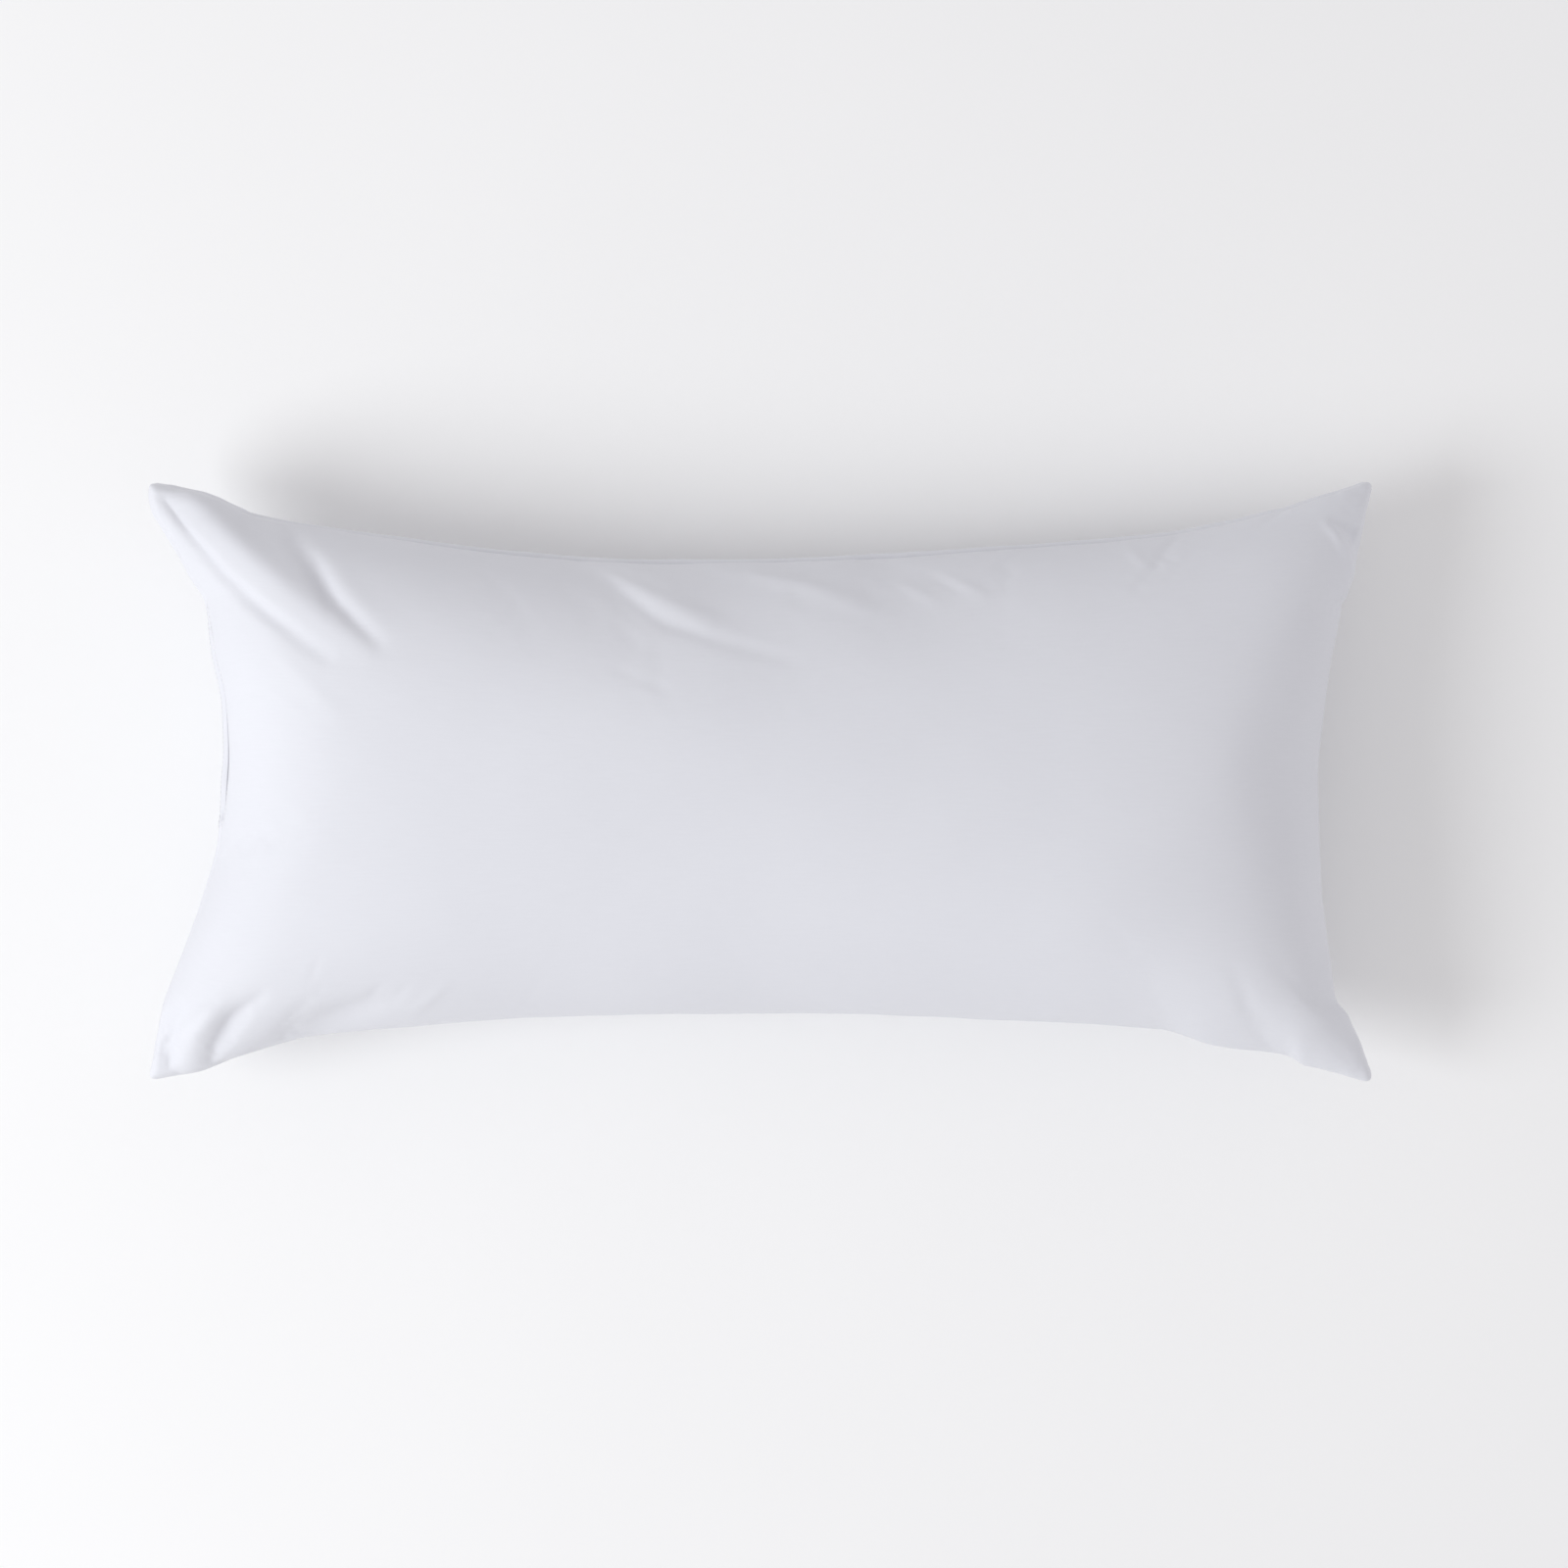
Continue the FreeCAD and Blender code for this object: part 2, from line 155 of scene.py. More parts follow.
def line_distance(x, y, line):
    """Distance of each point from a line in plan, and how far along it the nearest point is."""
    points = MM * np.array(line, float)
    lengths = np.linalg.norm(np.diff(points, axis=0), axis=1)
    before = np.concatenate([[0], np.cumsum(lengths)])
    distance = np.full(np.shape(x), np.inf)
    along = np.zeros(np.shape(x))
    for start, end, length, done in zip(points, points[1:], lengths, before):
        way = (end - start) / length
        t = np.clip((x - start[0]) * way[0] + (y - start[1]) * way[1], 0, length)
        gap = np.hypot(x - start[0] - t * way[0], y - start[1] - t * way[1])
        nearer = gap < distance
        distance = np.where(nearer, gap, distance)
        along = np.where(nearer, (done + t) / before[-1], along)
    return distance, along


def crease_height(x, y, line, half_start, half_end, height):
    """A rounded ridge or valley along a line, fading at both ends."""
    distance, along = line_distance(x, y, line)
    half = MM * (half_start + (half_end - half_start) * along)
    taper = np.sin(np.pi * (0.08 + 0.84 * along)) ** 0.7
    return MM * height * np.exp(-(distance / half) ** 2) * taper


def dome(share, fullness):
    """Height share of a domed section, from 1 in the middle to 0 at the seam."""
    return 1 - (1 - np.sqrt(np.clip(1 - share * share, 0, 1))) ** fullness


def plan_share(cut_share, half_chord, fullness):
    """Where a share of the cut lies in plan once it is bent over a dome section."""
    across = np.sin(np.linspace(0, np.pi / 2, 400))
    steps = np.hypot(np.diff(across) * half_chord, np.diff(dome(across, fullness)) * START_HEIGHT)
    along = np.concatenate([[0], np.cumsum(steps)]) / steps.sum()
    return np.sign(cut_share) * np.interp(abs(cut_share), along, across)


def grid_faces(index, flip=False):
    """The four-sided faces between the points of a grid of indices."""
    corners = [index[:-1, :-1], index[1:, :-1], index[1:, 1:], index[:-1, 1:]]
    quads = np.stack(corners, -1).reshape(-1, 4)
    return quads[:, ::-1] if flip else quads


def new_object(name, points, faces):
    mesh = bpy.data.meshes.new(name)
    mesh.from_pydata(np.asarray(points).reshape(-1, 3).tolist(), [], [list(map(int, f)) for f in faces])
    piece = bpy.data.objects.new(name, mesh)
    bpy.context.scene.collection.objects.link(piece)
    return piece


def sheets_before():
    """The domed top and bottom sheets that the cloth starts as, and its flat cut."""
    shares = np.linspace(-1, 1, SIM_U + 1), np.linspace(-1, 1, SIM_V + 1)
    cut_u, cut_v = np.meshgrid(*shares, indexing="ij")
    flat = np.stack([cut_u * cut_length / 2, cut_v * cut_width / 2, 0 * cut_u], -1)
    u_mid = plan_share(cut_u, chord_length, END_FULLNESS)
    v_mid = plan_share(cut_v, chord_width, SIDE_FULLNESS)
    u = cut_u + (u_mid - cut_u) * dome(v_mid, SIDE_FULLNESS)
    v = cut_v + (v_mid - cut_v) * dome(u_mid, END_FULLNESS)
    x, y = seam_plan(u, v)
    height = START_HEIGHT * dome(u, END_FULLNESS) * dome(v, SIDE_FULLNESS)
    slack = sum(crease_height(x, y, *crease) for crease in slack_creases)
    top = np.stack([x, y, height + slack], -1)
    return top, np.stack([x, y, -height], -1), flat


def simulated_cover():
    """The two sheets' points after inflation, each (SIM_U + 1) by (SIM_V + 1) by 3."""
    top, bottom, flat = sheets_before()
    count = (SIM_U + 1) * (SIM_V + 1)
    top_index = np.arange(count).reshape(SIM_U + 1, SIM_V + 1)
    bottom_index = top_index.copy()
    inside = (slice(1, -1), slice(1, -1))
    bottom_index[inside] = count + np.arange((SIM_U - 1) * (SIM_V - 1)).reshape(SIM_U - 1, SIM_V - 1)
    start = np.concatenate([top.reshape(-1, 3), bottom[inside].reshape(-1, 3)])
    cut = np.concatenate([flat.reshape(-1, 3), flat[inside].reshape(-1, 3)])
    faces = np.concatenate([grid_faces(top_index), grid_faces(bottom_index, True)])

    cloth = new_object("cloth_start", start, faces)
    cloth.shape_key_add(name="Basis")
    flat_key = cloth.shape_key_add(name="flat")
    flat_key.data.foreach_set("co", cut.astype(np.float32).ravel())
    flat_key.value = 0
    inflate(cloth, flat_key)
    shaped = cloth.evaluated_get(bpy.context.evaluated_depsgraph_get())
    points = np.empty(len(start) * 3, np.float32)
    shaped.data.vertices.foreach_get("co", points)
    bpy.data.objects.remove(cloth)
    bpy.context.scene.frame_set(1)
    points = points.reshape(-1, 3).astype(float)
    return points[top_index], points[bottom_index]


def inflate(cloth, flat_key):
    """Runs the cloth simulation: pressure inside, no gravity, at rest when flat."""
    modifier = cloth.modifiers.new("Cloth", "CLOTH")
    settings = modifier.settings
    settings.quality = 6
    settings.mass = 0.3
    settings.tension_stiffness = settings.compression_stiffness = 60
    settings.shear_stiffness = 5
    settings.bending_stiffness = 0.5
    settings.tension_damping = settings.compression_damping = settings.shear_damping = 5
    settings.air_damping = 2
    settings.use_pressure = True
    settings.uniform_pressure_force = 10
    settings.effector_weights.gravity = 0
    settings.rest_shape_key = flat_key
    modifier.collision_settings.use_collision = False
    modifier.point_cache.frame_start = 1
    modifier.point_cache.frame_end = SIM_FRAMES + 1
    for number in range(1, SIM_FRAMES + 1):
        bpy.context.scene.frame_set(number)


# ---------------------------------------------------------------- fitting the simulated cloth

def seam_distance(u, v):
    """Along the cloth, the distance to the nearest seam."""
    return np.minimum((1 - abs(u)) * cut_length / 2, (1 - abs(v)) * cut_width / 2)


FIT_REACH = 0.070           # how far into the cloth a side's fit reaches


def blurred(values, reach, axis):
    """A running average along one axis of a grid, carried on past its two ends."""
    values = np.moveaxis(values, axis, 0)
    span = 3 * reach
    weights = np.exp(-0.5 * (np.arange(-span, span + 1) / reach) ** 2)
    weights /= weights.sum()
    before = 2 * values[:1] - values[span:0:-1]
    after = 2 * values[-1:] - values[-2:-span - 2:-1]
    padded = np.concatenate([before, values, after])
    count = len(values)
    smooth = sum(w * padded[k:k + count] for k, w in enumerate(weights))
    return np.moveaxis(smooth, 0, axis)


def fitted_to_outline(top, bottom):
    """Moves the two sheets in plan so that their seam follows the outline."""
    u = np.linspace(-1, 1, top.shape[0])[:, None]
    v = np.linspace(-1, 1, top.shape[1])[None, :]
    for i, j, along, across in corners:
        shift = np.array(seam_plan(float(along), float(across))) - top[i, j, :2]
        weight = (1 + along * u) / 2 * (1 + across * v) / 2
        for sheet in (top, bottom):
            sheet[:, :, :2] += weight[..., None] * shift
    for i, side, sign in ((0, "left", -1), (-1, "right", 1)):
        goal = sign * (half_length - drawn(side, top[i, :, 1]))
        shift = blurred(goal - top[i, :, 0], 1, 0)[None, :]
        reach = np.exp(-((1 - sign * u) * cut_length / 2 / FIT_REACH) ** 2)
        for sheet in (top, bottom):
            sheet[:, :, 0] += reach * shift
    for j, side, sign in ((0, "front", -1), (-1, "back", 1)):
        goal = sign * (half_width - drawn(side, top[:, j, 0]))
        shift = blurred(goal - top[:, j, 1], 1, 0)[:, None]
        reach = np.exp(-((1 - sign * v) * cut_width / 2 / FIT_REACH) ** 2)
        for sheet in (top, bottom):
            sheet[:, :, 1] += reach * shift
    return top, bottom


CALM_ALL = 0.25             # how much of its ripples the whole face loses
CALM_CELLS = 4              # reach of the smoothing
CALM_OFF_SEAM = 0.02        # distance from the seam at which it sets in
# Where the face is smoother than simulated: (middle in plan, reach, share), in millimetres.
calm_spots = [
    ((-310, 115), 60, 0.62), ((-70, 85), 70, 0.75), ((10, 80), 60, 0.85), ((100, 80), 70, 0.85),
    ((105, 125), 60, 0.6), ((-125, -115), 75, 0.95), ((14, -110), 80, 0.95), ((120, -120), 70, 0.8),
    ((255, -118), 60, 0.9), ((325, -135), 45, 0.8), ((-335, 30), 95, 0.95), ((-255, -140), 45, 0.8),
    ((335, 10), 95, 0.95), ((355, 140), 40, 0.5),
]


def calmed(sheet):
    """The sheet with the ripples that the photo's face doesn't have smoothed away."""
    smooth = blurred(blurred(sheet, CALM_CELLS, 0), CALM_CELLS, 1)
    share = np.full(sheet.shape[:2], CALM_ALL)
    for (x, y), reach, most in calm_spots:
        far = np.hypot(sheet[:, :, 0] - MM * x, sheet[:, :, 1] - MM * y) / (MM * reach)
        share = 1 - (1 - share) * (1 - most * np.exp(-far ** 2))
    u, v = np.linspace(-1, 1, SIM_U + 1)[:, None], np.linspace(-1, 1, SIM_V + 1)[None, :]
    share *= 1 - np.exp(-(seam_distance(u, v) / CALM_OFF_SEAM) ** 2)
    return sheet + share[..., None] * (smooth - sheet)


PANEL_U, PANEL_V = 360, 200     # cells along and across one panel
CLUSTERING = 0.6                # how much finer the cells are near the seams


def clustered(count):
    """Shares from -1 to 1, closer together towards both ends."""
    s = np.linspace(-1, 1, count + 1)
    return s + CLUSTERING * np.sin(np.pi * s) / np.pi


def resampled(sheet, u, v):
    """The sheet's points at other shares along and across, by cubic curves through its points."""
    for at in (u, v):
        count = len(sheet)
        place = (at + 1) / 2 * (count - 1)
        i = np.clip(np.floor(place).astype(int), 0, count - 2)
        t = (place - i)[:, None, None]
        here, after = sheet[i], sheet[i + 1]
        before = np.where((i > 0)[:, None, None], sheet[np.maximum(i - 1, 0)], 2 * here - after)
        last = (i + 2 > count - 1)[:, None, None]
        beyond = np.where(last, 2 * after - here, sheet[np.minimum(i + 2, count - 1)])
        curve = here + t / 2 * (after - before + t * (
            2 * before - 5 * here + 4 * after - beyond + t * (3 * (here - after) + beyond - before)))
        sheet = curve.transpose(1, 0, 2)
    return sheet


def unit(vectors):
    return vectors / np.maximum(np.linalg.norm(vectors, axis=-1, keepdims=True), 1e-12)


def normals_of(sheet, outward):
    """The sheet's slightly smoothed normals; outward is 1 for the top and -1 for the underside."""
    normal = unit(outward * np.cross(np.gradient(sheet, axis=0), np.gradient(sheet, axis=1)))
    for axis in (0, 1):
        normal = blurred(normal, 1, axis)
    return unit(normal)


top, bottom = simulated_cover()
top, bottom = fitted_to_outline(top, bottom)
top = calmed(top)
swell = crown_rise / top[:, :, 2].max()
top[:, :, 2] *= swell
bottom[:, :, 2] *= swell
share_u, share_v = clustered(PANEL_U), clustered(PANEL_V)
top = resampled(top, share_u, share_v)
bottom = resampled(bottom, share_u, share_v)


# ---------------------------------------------------------------- folds, undulations and puckers

# The folds that show on the face, as slack_creases.
face_folds = [
    # the corner at -X +Y
    ([(-383, 180), (-366, 157), (-346, 133), (-321, 111), (-296, 92), (-280, 81)], 3, 6, -3.2),
    ([(-370, 187), (-338, 155), (-304, 124), (-277, 104), (-255, 88)], 7, 11, 2.2),
    ([(-301, 154), (-288, 138), (-277, 121), (-262, 105), (-246, 90)], 6, 5, -3.2),
    ([(-277, 140), (-262, 118), (-238, 100)], 8, 10, 0.9),
    ([(-315, 86), (-290, 62), (-268, 40)], 5, 7, 0.6),
    # the corner at -X -Y, and the hollow beside it
    ([(-373, -146), (-378, -157), (-381, -168), (-378, -182)], 4, 5.5, -2.6),
    ([(-322, -138), (-340, -152), (-350, -166), (-357, -183)], 4, 6, -2.2),
    ([(-345, -140), (-364, -160), (-368, -178)], 6, 6, 1.4),
    ([(-242, -141), (-272, -152), (-303, -164)], 8, 10, -4.2),
    ([(-203, -131), (-216, -142), (-226, -149)], 3, 4, 0.8),
    ([(-244, -131), (-252, -140)], 3, 3, -0.6),
    ([(-228, -131), (-235, -140)], 3, 3, -0.6),
    ([(-284, -113), (-291, -130)], 2.5, 3, -0.4),
    # along the back
    ([(-113, 142), (-92, 130), (-75, 121), (-53, 111), (-20, 95)], 4, 8, 1.0),
    ([(-97, 129), (-67, 105), (-45, 97), (-20, 89), (20, 79)], 4, 5, -1.2),
    ([(-103, 143), (-78, 134), (-55, 126)], 3, 4, 0.7),
    ([(-28, 137), (8, 130), (35, 126), (58, 117), (80, 108)], 4, 7, 1.4),
    ([(2, 138), (20, 136), (41, 131)], 4, 4, -1.4),
    ([(-96, 74), (-75, 65), (-52, 57)], 3, 3, -0.5),
    ([(90, 128), (114, 116)], 3, 4, 1.0),
    ([(120, 132), (150, 118)], 3, 4, 0.8),
    ([(105, 134), (128, 124)], 3, 3, -0.7),
    ([(236, 151), (250, 138)], 3, 4, 0.7),
    # the corner at +X +Y
    ([(371, 168), (380, 160), (385, 150), (387, 140)], 3.5, 4.5, -3.0),
    ([(365, 166), (372, 158), (379, 146), (382, 134)], 3, 4, 2.0),
    # the corner at +X -Y
    ([(306, -124), (310, -132), (315, -146), (331, -161)], 6, 7, -1.0),
    ([(330, -112), (342, -128), (352, -140)], 8, 8, -0.8),
]
rng = np.random.default_rng(11)


def random_field(shape, reach, height):
    """A smooth random field whose features are about reach cells wide."""
    field = rng.standard_normal(shape)
    for axis, cells in enumerate(reach):
        field = blurred(field, cells, axis)
    return height * field / field.std()


grid_u, grid_v = np.meshgrid(share_u, share_v, indexing="ij")
from_seam = seam_distance(grid_u, grid_v)
PUCKER_REACH = 0.012        # how far from the seam the small puckers reach
SOFT_OFF_SEAM = 0.020       # distance from the seam at which the soft undulations set in
FOLD_OFF_SEAM = 0.006       # and the folds
PUFF_REACH = 0.045          # how far from the seam the puffing out reaches
CORNER_BLEND = 0.015        # width over which two sides share a corner
near_seam = np.exp(-from_seam / PUCKER_REACH) * (1 - np.exp(-from_seam / 0.002))
off_seam = 1 - np.exp(-from_seam / SOFT_OFF_SEAM)


def side_weights(u, v):
    """How much each point belongs to each side, shared out smoothly near the corners."""
    gaps = {
        "left": (1 + u) * cut_length / 2, "right": (1 - u) * cut_length / 2,
        "front": (1 + v) * cut_width / 2, "back": (1 - v) * cut_width / 2,
    }
    weights = {side: np.exp(-gap / CORNER_BLEND) for side, gap in gaps.items()}
    total = sum(weights.values())
    return {side: weight / total for side, weight in weights.items()}


of_side = side_weights(grid_u, grid_v)
# How far each panel puffs out past the seam on each side, in millimetres.
top_puff = {"left": 0.8, "right": 0.8, "back": 0.8, "front": 1.2}
bottom_puff = {"left": 3.2, "right": 2.6, "back": 4.2, "front": 1.0}


def puffed(sheet, outward, puff):
    """The panel swells out past the seam, with small puckers where the stitches gather it."""
    rise = np.exp(-(from_seam / PUFF_REACH) ** 2) * (1 - np.exp(-from_seam / 0.0018))
    amount = MM * sum(puff[side] * weight for side, weight in of_side.items())
    pucker = 0.28 * MM * random_field(sheet.shape[:2], (3, 3), 1) * near_seam
    soft = random_field(sheet.shape[:2], (26, 24), 0.9 * MM) * off_seam
    fine = random_field(sheet.shape[:2], (7, 6), 0.10 * MM) * off_seam
    return sheet + (rise * amount + pucker + soft + fine)[..., None] * normals_of(sheet, outward)


nearer = 1 + top[:, :, 2:3] / CAMERA_HEIGHT      # what stands higher looks larger from above
folds = sum(crease_height(*np.moveaxis(top[:, :, :2] * nearer, -1, 0), *fold) for fold in face_folds)
folds *= 1 - np.exp(-from_seam / FOLD_OFF_SEAM)
top = top + folds[..., None] * normals_of(top, 1)
calm_top, calm_bottom = top.copy(), bottom.copy()
top = puffed(top, 1, top_puff)
bottom = puffed(bottom, -1, bottom_puff)


# ---------------------------------------------------------------- corner tips, and how it lies

TIP_RADIUS = 3.6 * MM
TIP_STRETCH = 2.0 * MM      # the tips are drawn out first, so that rounding them leaves the length


TIP_REACH = 0.018           # how far into the cloth the drawing out reaches
TIP_CELLS = 12              # cells along each edge that give its way at the corner
TIP_SLACK = 0.1             # share of the cloth past the rounding that stays past it


def rounded_tip(plan, i, j, along, across):
    """Draws out one corner of a plan and rounds it."""
    far = np.linalg.norm(plan - plan[i, j], axis=-1, keepdims=True)
    plan += TIP_STRETCH * np.exp(-(far / TIP_REACH) ** 2) * np.array([along, across])
    tip = plan[i, j].copy()
    sides = [plan[i - along * TIP_CELLS, j] - tip, plan[i, j - across * TIP_CELLS] - tip]
    ways = [side / np.linalg.norm(side) for side in sides]
    half_angle = np.arccos(np.clip(ways[0] @ ways[1], -1, 1)) / 2
    inward = (ways[0] + ways[1]) / np.linalg.norm(ways[0] + ways[1])
    centre = tip + inward * TIP_RADIUS / np.sin(half_angle)
    offset = plan - centre
    reach = np.maximum(np.linalg.norm(offset, axis=-1), 1e-9)
    facing = -(offset @ inward) / reach
    tangent = np.sin(half_angle)
    weight = np.clip(4 * (facing - tangent) / (1 - tangent), 0, 1)
    wanted = np.minimum(reach, TIP_RADIUS + TIP_SLACK * (reach - TIP_RADIUS))
    plan[:] = centre + offset * (1 + weight * (wanted / reach - 1))[..., None]


def rounded_tips(sheet):
    """Rounds the sheet's four corners in plan to a small radius."""
    for corner in corners:
        rounded_tip(sheet[:, :, :2], *corner)
    return sheet


DROOP = 12 * MM             # of the corners
WANDER = 1.6 * MM           # of the two ends, up and down
FLAT_BLEND = 7 * MM         # height over which the underside turns flat


def laid_down(sheet):
    """The corners droop a little, and the underside is flat where it rests on the floor."""
    droop = DROOP * (grid_u * grid_v) ** 4
    wander = WANDER * np.sin(2.3 * grid_u + 0.7) * grid_v ** 2
    level = sheet[:, :, 2] + seam_level - droop + wander
    sheet[:, :, 2] = FLAT_BLEND * np.logaddexp(0, level / FLAT_BLEND)
    return sheet


# The lips part over the tapes: they open gently at the front end, and quickly at the back one,
# where the pull tab reaches when it is turned over.
PARTED_EASE = (6.5 * MM, 4 * MM)
parted_start = opening_start + 5 * MM
parted_end = opening_end - 1 * MM


def opening_share(y):
    """1 along the parted lips, easing to 0 at their two ends."""
    t = np.clip(np.minimum((y - parted_start) / PARTED_EASE[0], (parted_end - y) / PARTED_EASE[1]), 0, 1)
    return t * t * (3 - 2 * t)


# How far the upper lip is pulled back from the lower one along the opening, in millimetres.
lip_pull = [(-32, 0.4), (-22, 2.4), (-8, 3.4), (12, 4.0), (35, 3.4), (60, 2.8), (92, 2.2), (116, 0.3)]


PARTED_REACH = 0.016        # how far in from the seam the parting reaches


def parted(sheet, up):
    """Opens the seam into a lip along the zip."""
    y = sheet[:1, :, 1]
    near = np.exp(-((1 + grid_u) * cut_length / 2 / PARTED_REACH) ** 2)
    share = opening_share(y)
    sheet[:, :, 2] += up * lip_level * share * near
    if up > 0:
        sheet[:, :, 0] += MM * through(lip_pull, y / MM) * np.minimum(2 * share, 1) * near
    return sheet


top, bottom = rounded_tips(top), rounded_tips(bottom)
calm_top, calm_bottom = rounded_tips(calm_top), rounded_tips(calm_bottom)
sheets = [laid_down(sheet) for sheet in (top, bottom, calm_top, calm_bottom)]
lowest = sheets[1][:, :, 2].min()
top, bottom, calm_top, calm_bottom = sheets
for sheet in (bottom, calm_bottom):
    sheet[:, :, 2] -= lowest * (1 - np.clip(sheet[:, :, 2] / seam_level, 0, 1))
top[:, :, 2] *= crown_level / top[:, :, 2].max()
top, bottom = parted(top, 1), parted(bottom, -1)


# ---------------------------------------------------------------- materials

def material_of(name, colour, roughness, **settings):
    """A new procedural material, its node tree, and its main shader."""
    material = bpy.data.materials.new(name)
    material.use_nodes = True
    tree = material.node_tree
    shader = tree.nodes["Principled BSDF"]
    shader.inputs["Base Color"].default_value = (*colour, 1)
    shader.inputs["Roughness"].default_value = roughness
    for socket, value in settings.items():
        shader.inputs[socket.replace("_", " ")].default_value = value
    return material, tree, shader


def placed(tree, attribute, scale, turn=0.0):
    """Coordinates for a texture: the cloth's cut, or the object's own place, scaled."""
    mapping = tree.nodes.new("ShaderNodeMapping")
    mapping.inputs["Scale"].default_value = scale
    mapping.inputs["Rotation"].default_value = (0, 0, turn)
    if attribute:
        source = tree.nodes.new("ShaderNodeAttribute")
        source.attribute_name = attribute
        tree.links.new(source.outputs["Vector"], mapping.inputs["Vector"])
    else:
        source = tree.nodes.new("ShaderNodeTexCoord")
        tree.links.new(source.outputs["Object"], mapping.inputs["Vector"])
    return mapping.outputs["Vector"]


def noise(tree, vector, scale, detail=3.0, distortion=0.0):
    node = tree.nodes.new("ShaderNodeTexNoise")
    node.inputs["Scale"].default_value = scale
    node.inputs["Detail"].default_value = detail
    node.inputs["Distortion"].default_value = distortion
    tree.links.new(vector, node.inputs["Vector"])
    return node.outputs["Fac"]


def wave(tree, vector, scale, direction="X", distortion=0.4):
    node = tree.nodes.new("ShaderNodeTexWave")
    node.bands_direction = direction
    node.inputs["Scale"].default_value = scale
    node.inputs["Distortion"].default_value = distortion
    node.inputs["Detail"].default_value = 1
    tree.links.new(vector, node.inputs["Vector"])
    return node.outputs["Fac"]


def combined(tree, operation, first, second):
    """A math node on two values, each a number or another node's output."""
    node = tree.nodes.new("ShaderNodeMath")
    node.operation = operation
    for socket, value in zip(node.inputs, (first, second)):
        if isinstance(value, (int, float)):
            socket.default_value = value
        else:
            tree.links.new(value, socket)
    return node.outputs[0]


def bumped(tree, shader, height, distance, strength, under=None):
    bump = tree.nodes.new("ShaderNodeBump")
    bump.inputs["Distance"].default_value = distance
    bump.inputs["Strength"].default_value = strength
    tree.links.new(height, bump.inputs["Height"])
    if under:
        tree.links.new(under, bump.inputs["Normal"])
    tree.links.new(bump.outputs["Normal"], shader.inputs["Normal"])
    return bump.outputs["Normal"]


def tinted(tree, shader, factor, dark, light):
    """The colour runs between two shades as the factor goes from 0.3 to 0.7."""
    ramp = tree.nodes.new("ShaderNodeValToRGB")
    ramp.color_ramp.elements[0].position = 0.3
    ramp.color_ramp.elements[1].position = 0.7
    ramp.color_ramp.elements[0].color = (*dark, 1)
    ramp.color_ramp.elements[1].color = (*light, 1)
    tree.links.new(factor, ramp.inputs["Fac"])
    tree.links.new(ramp.outputs["Color"], shader.inputs["Base Color"])


WAVE_TURN = 2 * np.pi / 20  # a wave texture makes one band in this many units at scale 1


def woven(name, dark, light, pitch, depth, attribute="cut", **settings):
    """Cloth: two crossing sets of threads, slubs, faint creases and a slight change of shade."""
    roughness = settings.pop("roughness", 0.8)
    material, tree, shader = material_of(name, light, roughness, **settings)
    threads = placed(tree, attribute, (WAVE_TURN / pitch,) * 3)
    weave = combined(tree, "ADD", wave(tree, threads, 1, "X"), wave(tree, threads, 1, "Y"))
    slubs = noise(tree, placed(tree, attribute, (60, 900, 60)), 1, 2)
    cloth = combined(tree, "ADD", weave, combined(tree, "MULTIPLY", slubs, 1.5))
    creases = noise(tree, placed(tree, attribute, (26, 60, 26), 0.6), 1, 5, 0.6)
    under = bumped(tree, shader, creases, 0.9 * MM, 0.35)
    bumped(tree, shader, cloth, depth, 0.5, under)
    shade = combined(tree, "MULTIPLY", noise(tree, placed(tree, attribute, (7, 7, 7)), 1, 2), 0.7)
    mixed = combined(tree, "ADD", shade, combined(tree, "MULTIPLY", slubs, 0.3))
    tinted(tree, shader, mixed, dark, light)
    return material


cotton = woven("cover_cotton", (0.735, 0.742, 0.788), (0.768, 0.776, 0.822), 0.42 * MM, 0.04 * MM,
               roughness=0.72, Sheen_Weight=0.18, Sheen_Roughness=0.4, Specular_IOR_Level=0.35)
ticking = woven("ticking_cotton", (0.74, 0.74, 0.72), (0.80, 0.80, 0.78), 0.55 * MM, 0.06 * MM,
                roughness=0.85, Sheen_Weight=0.1)
satin = woven("label_satin", (0.80, 0.80, 0.80), (0.88, 0.88, 0.88), 0.30 * MM, 0.02 * MM, None,
              roughness=0.35)
tape_weave = woven("zip_tape", (0.76, 0.765, 0.79), (0.84, 0.845, 0.87), 0.50 * MM, 0.08 * MM, None,
                   roughness=0.75)


def fibrous(name, dark, light, scale, depth):
    """Loose fibre: matt and deeply tufted, with painted shade that darkens the low parts between the tufted
    peaks.
    """
    material, tree, shader = material_of(name, light, 0.95, Sheen_Weight=0.3)
    tufts_and_shade = noise(tree, placed(tree, None, (scale,) * 3), 1, 8, 1.2)
    bumped(tree, shader, tufts_and_shade, depth, 0.9)
    # painted shade: the colour is darker where the fibre lies low
    tinted(tree, shader, tufts_and_shade, dark, light)
    return material


batting = fibrous("batting", (0.74, 0.74, 0.74), (0.90, 0.90, 0.90), 120, 2.0 * MM)
fibre = fibrous("fill_fibre", (0.72, 0.72, 0.73), (0.92, 0.92, 0.93), 70, 4.0 * MM)


def thread_material():
    material, tree, shader = material_of("sewing_thread", (0.86, 0.86, 0.88), 0.6, Sheen_Weight=0.2)
    twist_and_shade = wave(tree, placed(tree, None, (1, 1, 1), 0.7), WAVE_TURN / (0.5 * MM), "DIAGONAL", 0.0)
    bumped(tree, shader, twist_and_shade, 0.06 * MM, 0.8)
    # painted shade: the colour is darker in the thread's grooves
    tinted(tree, shader, twist_and_shade, (0.80, 0.80, 0.82), (0.88, 0.88, 0.90))
    return material


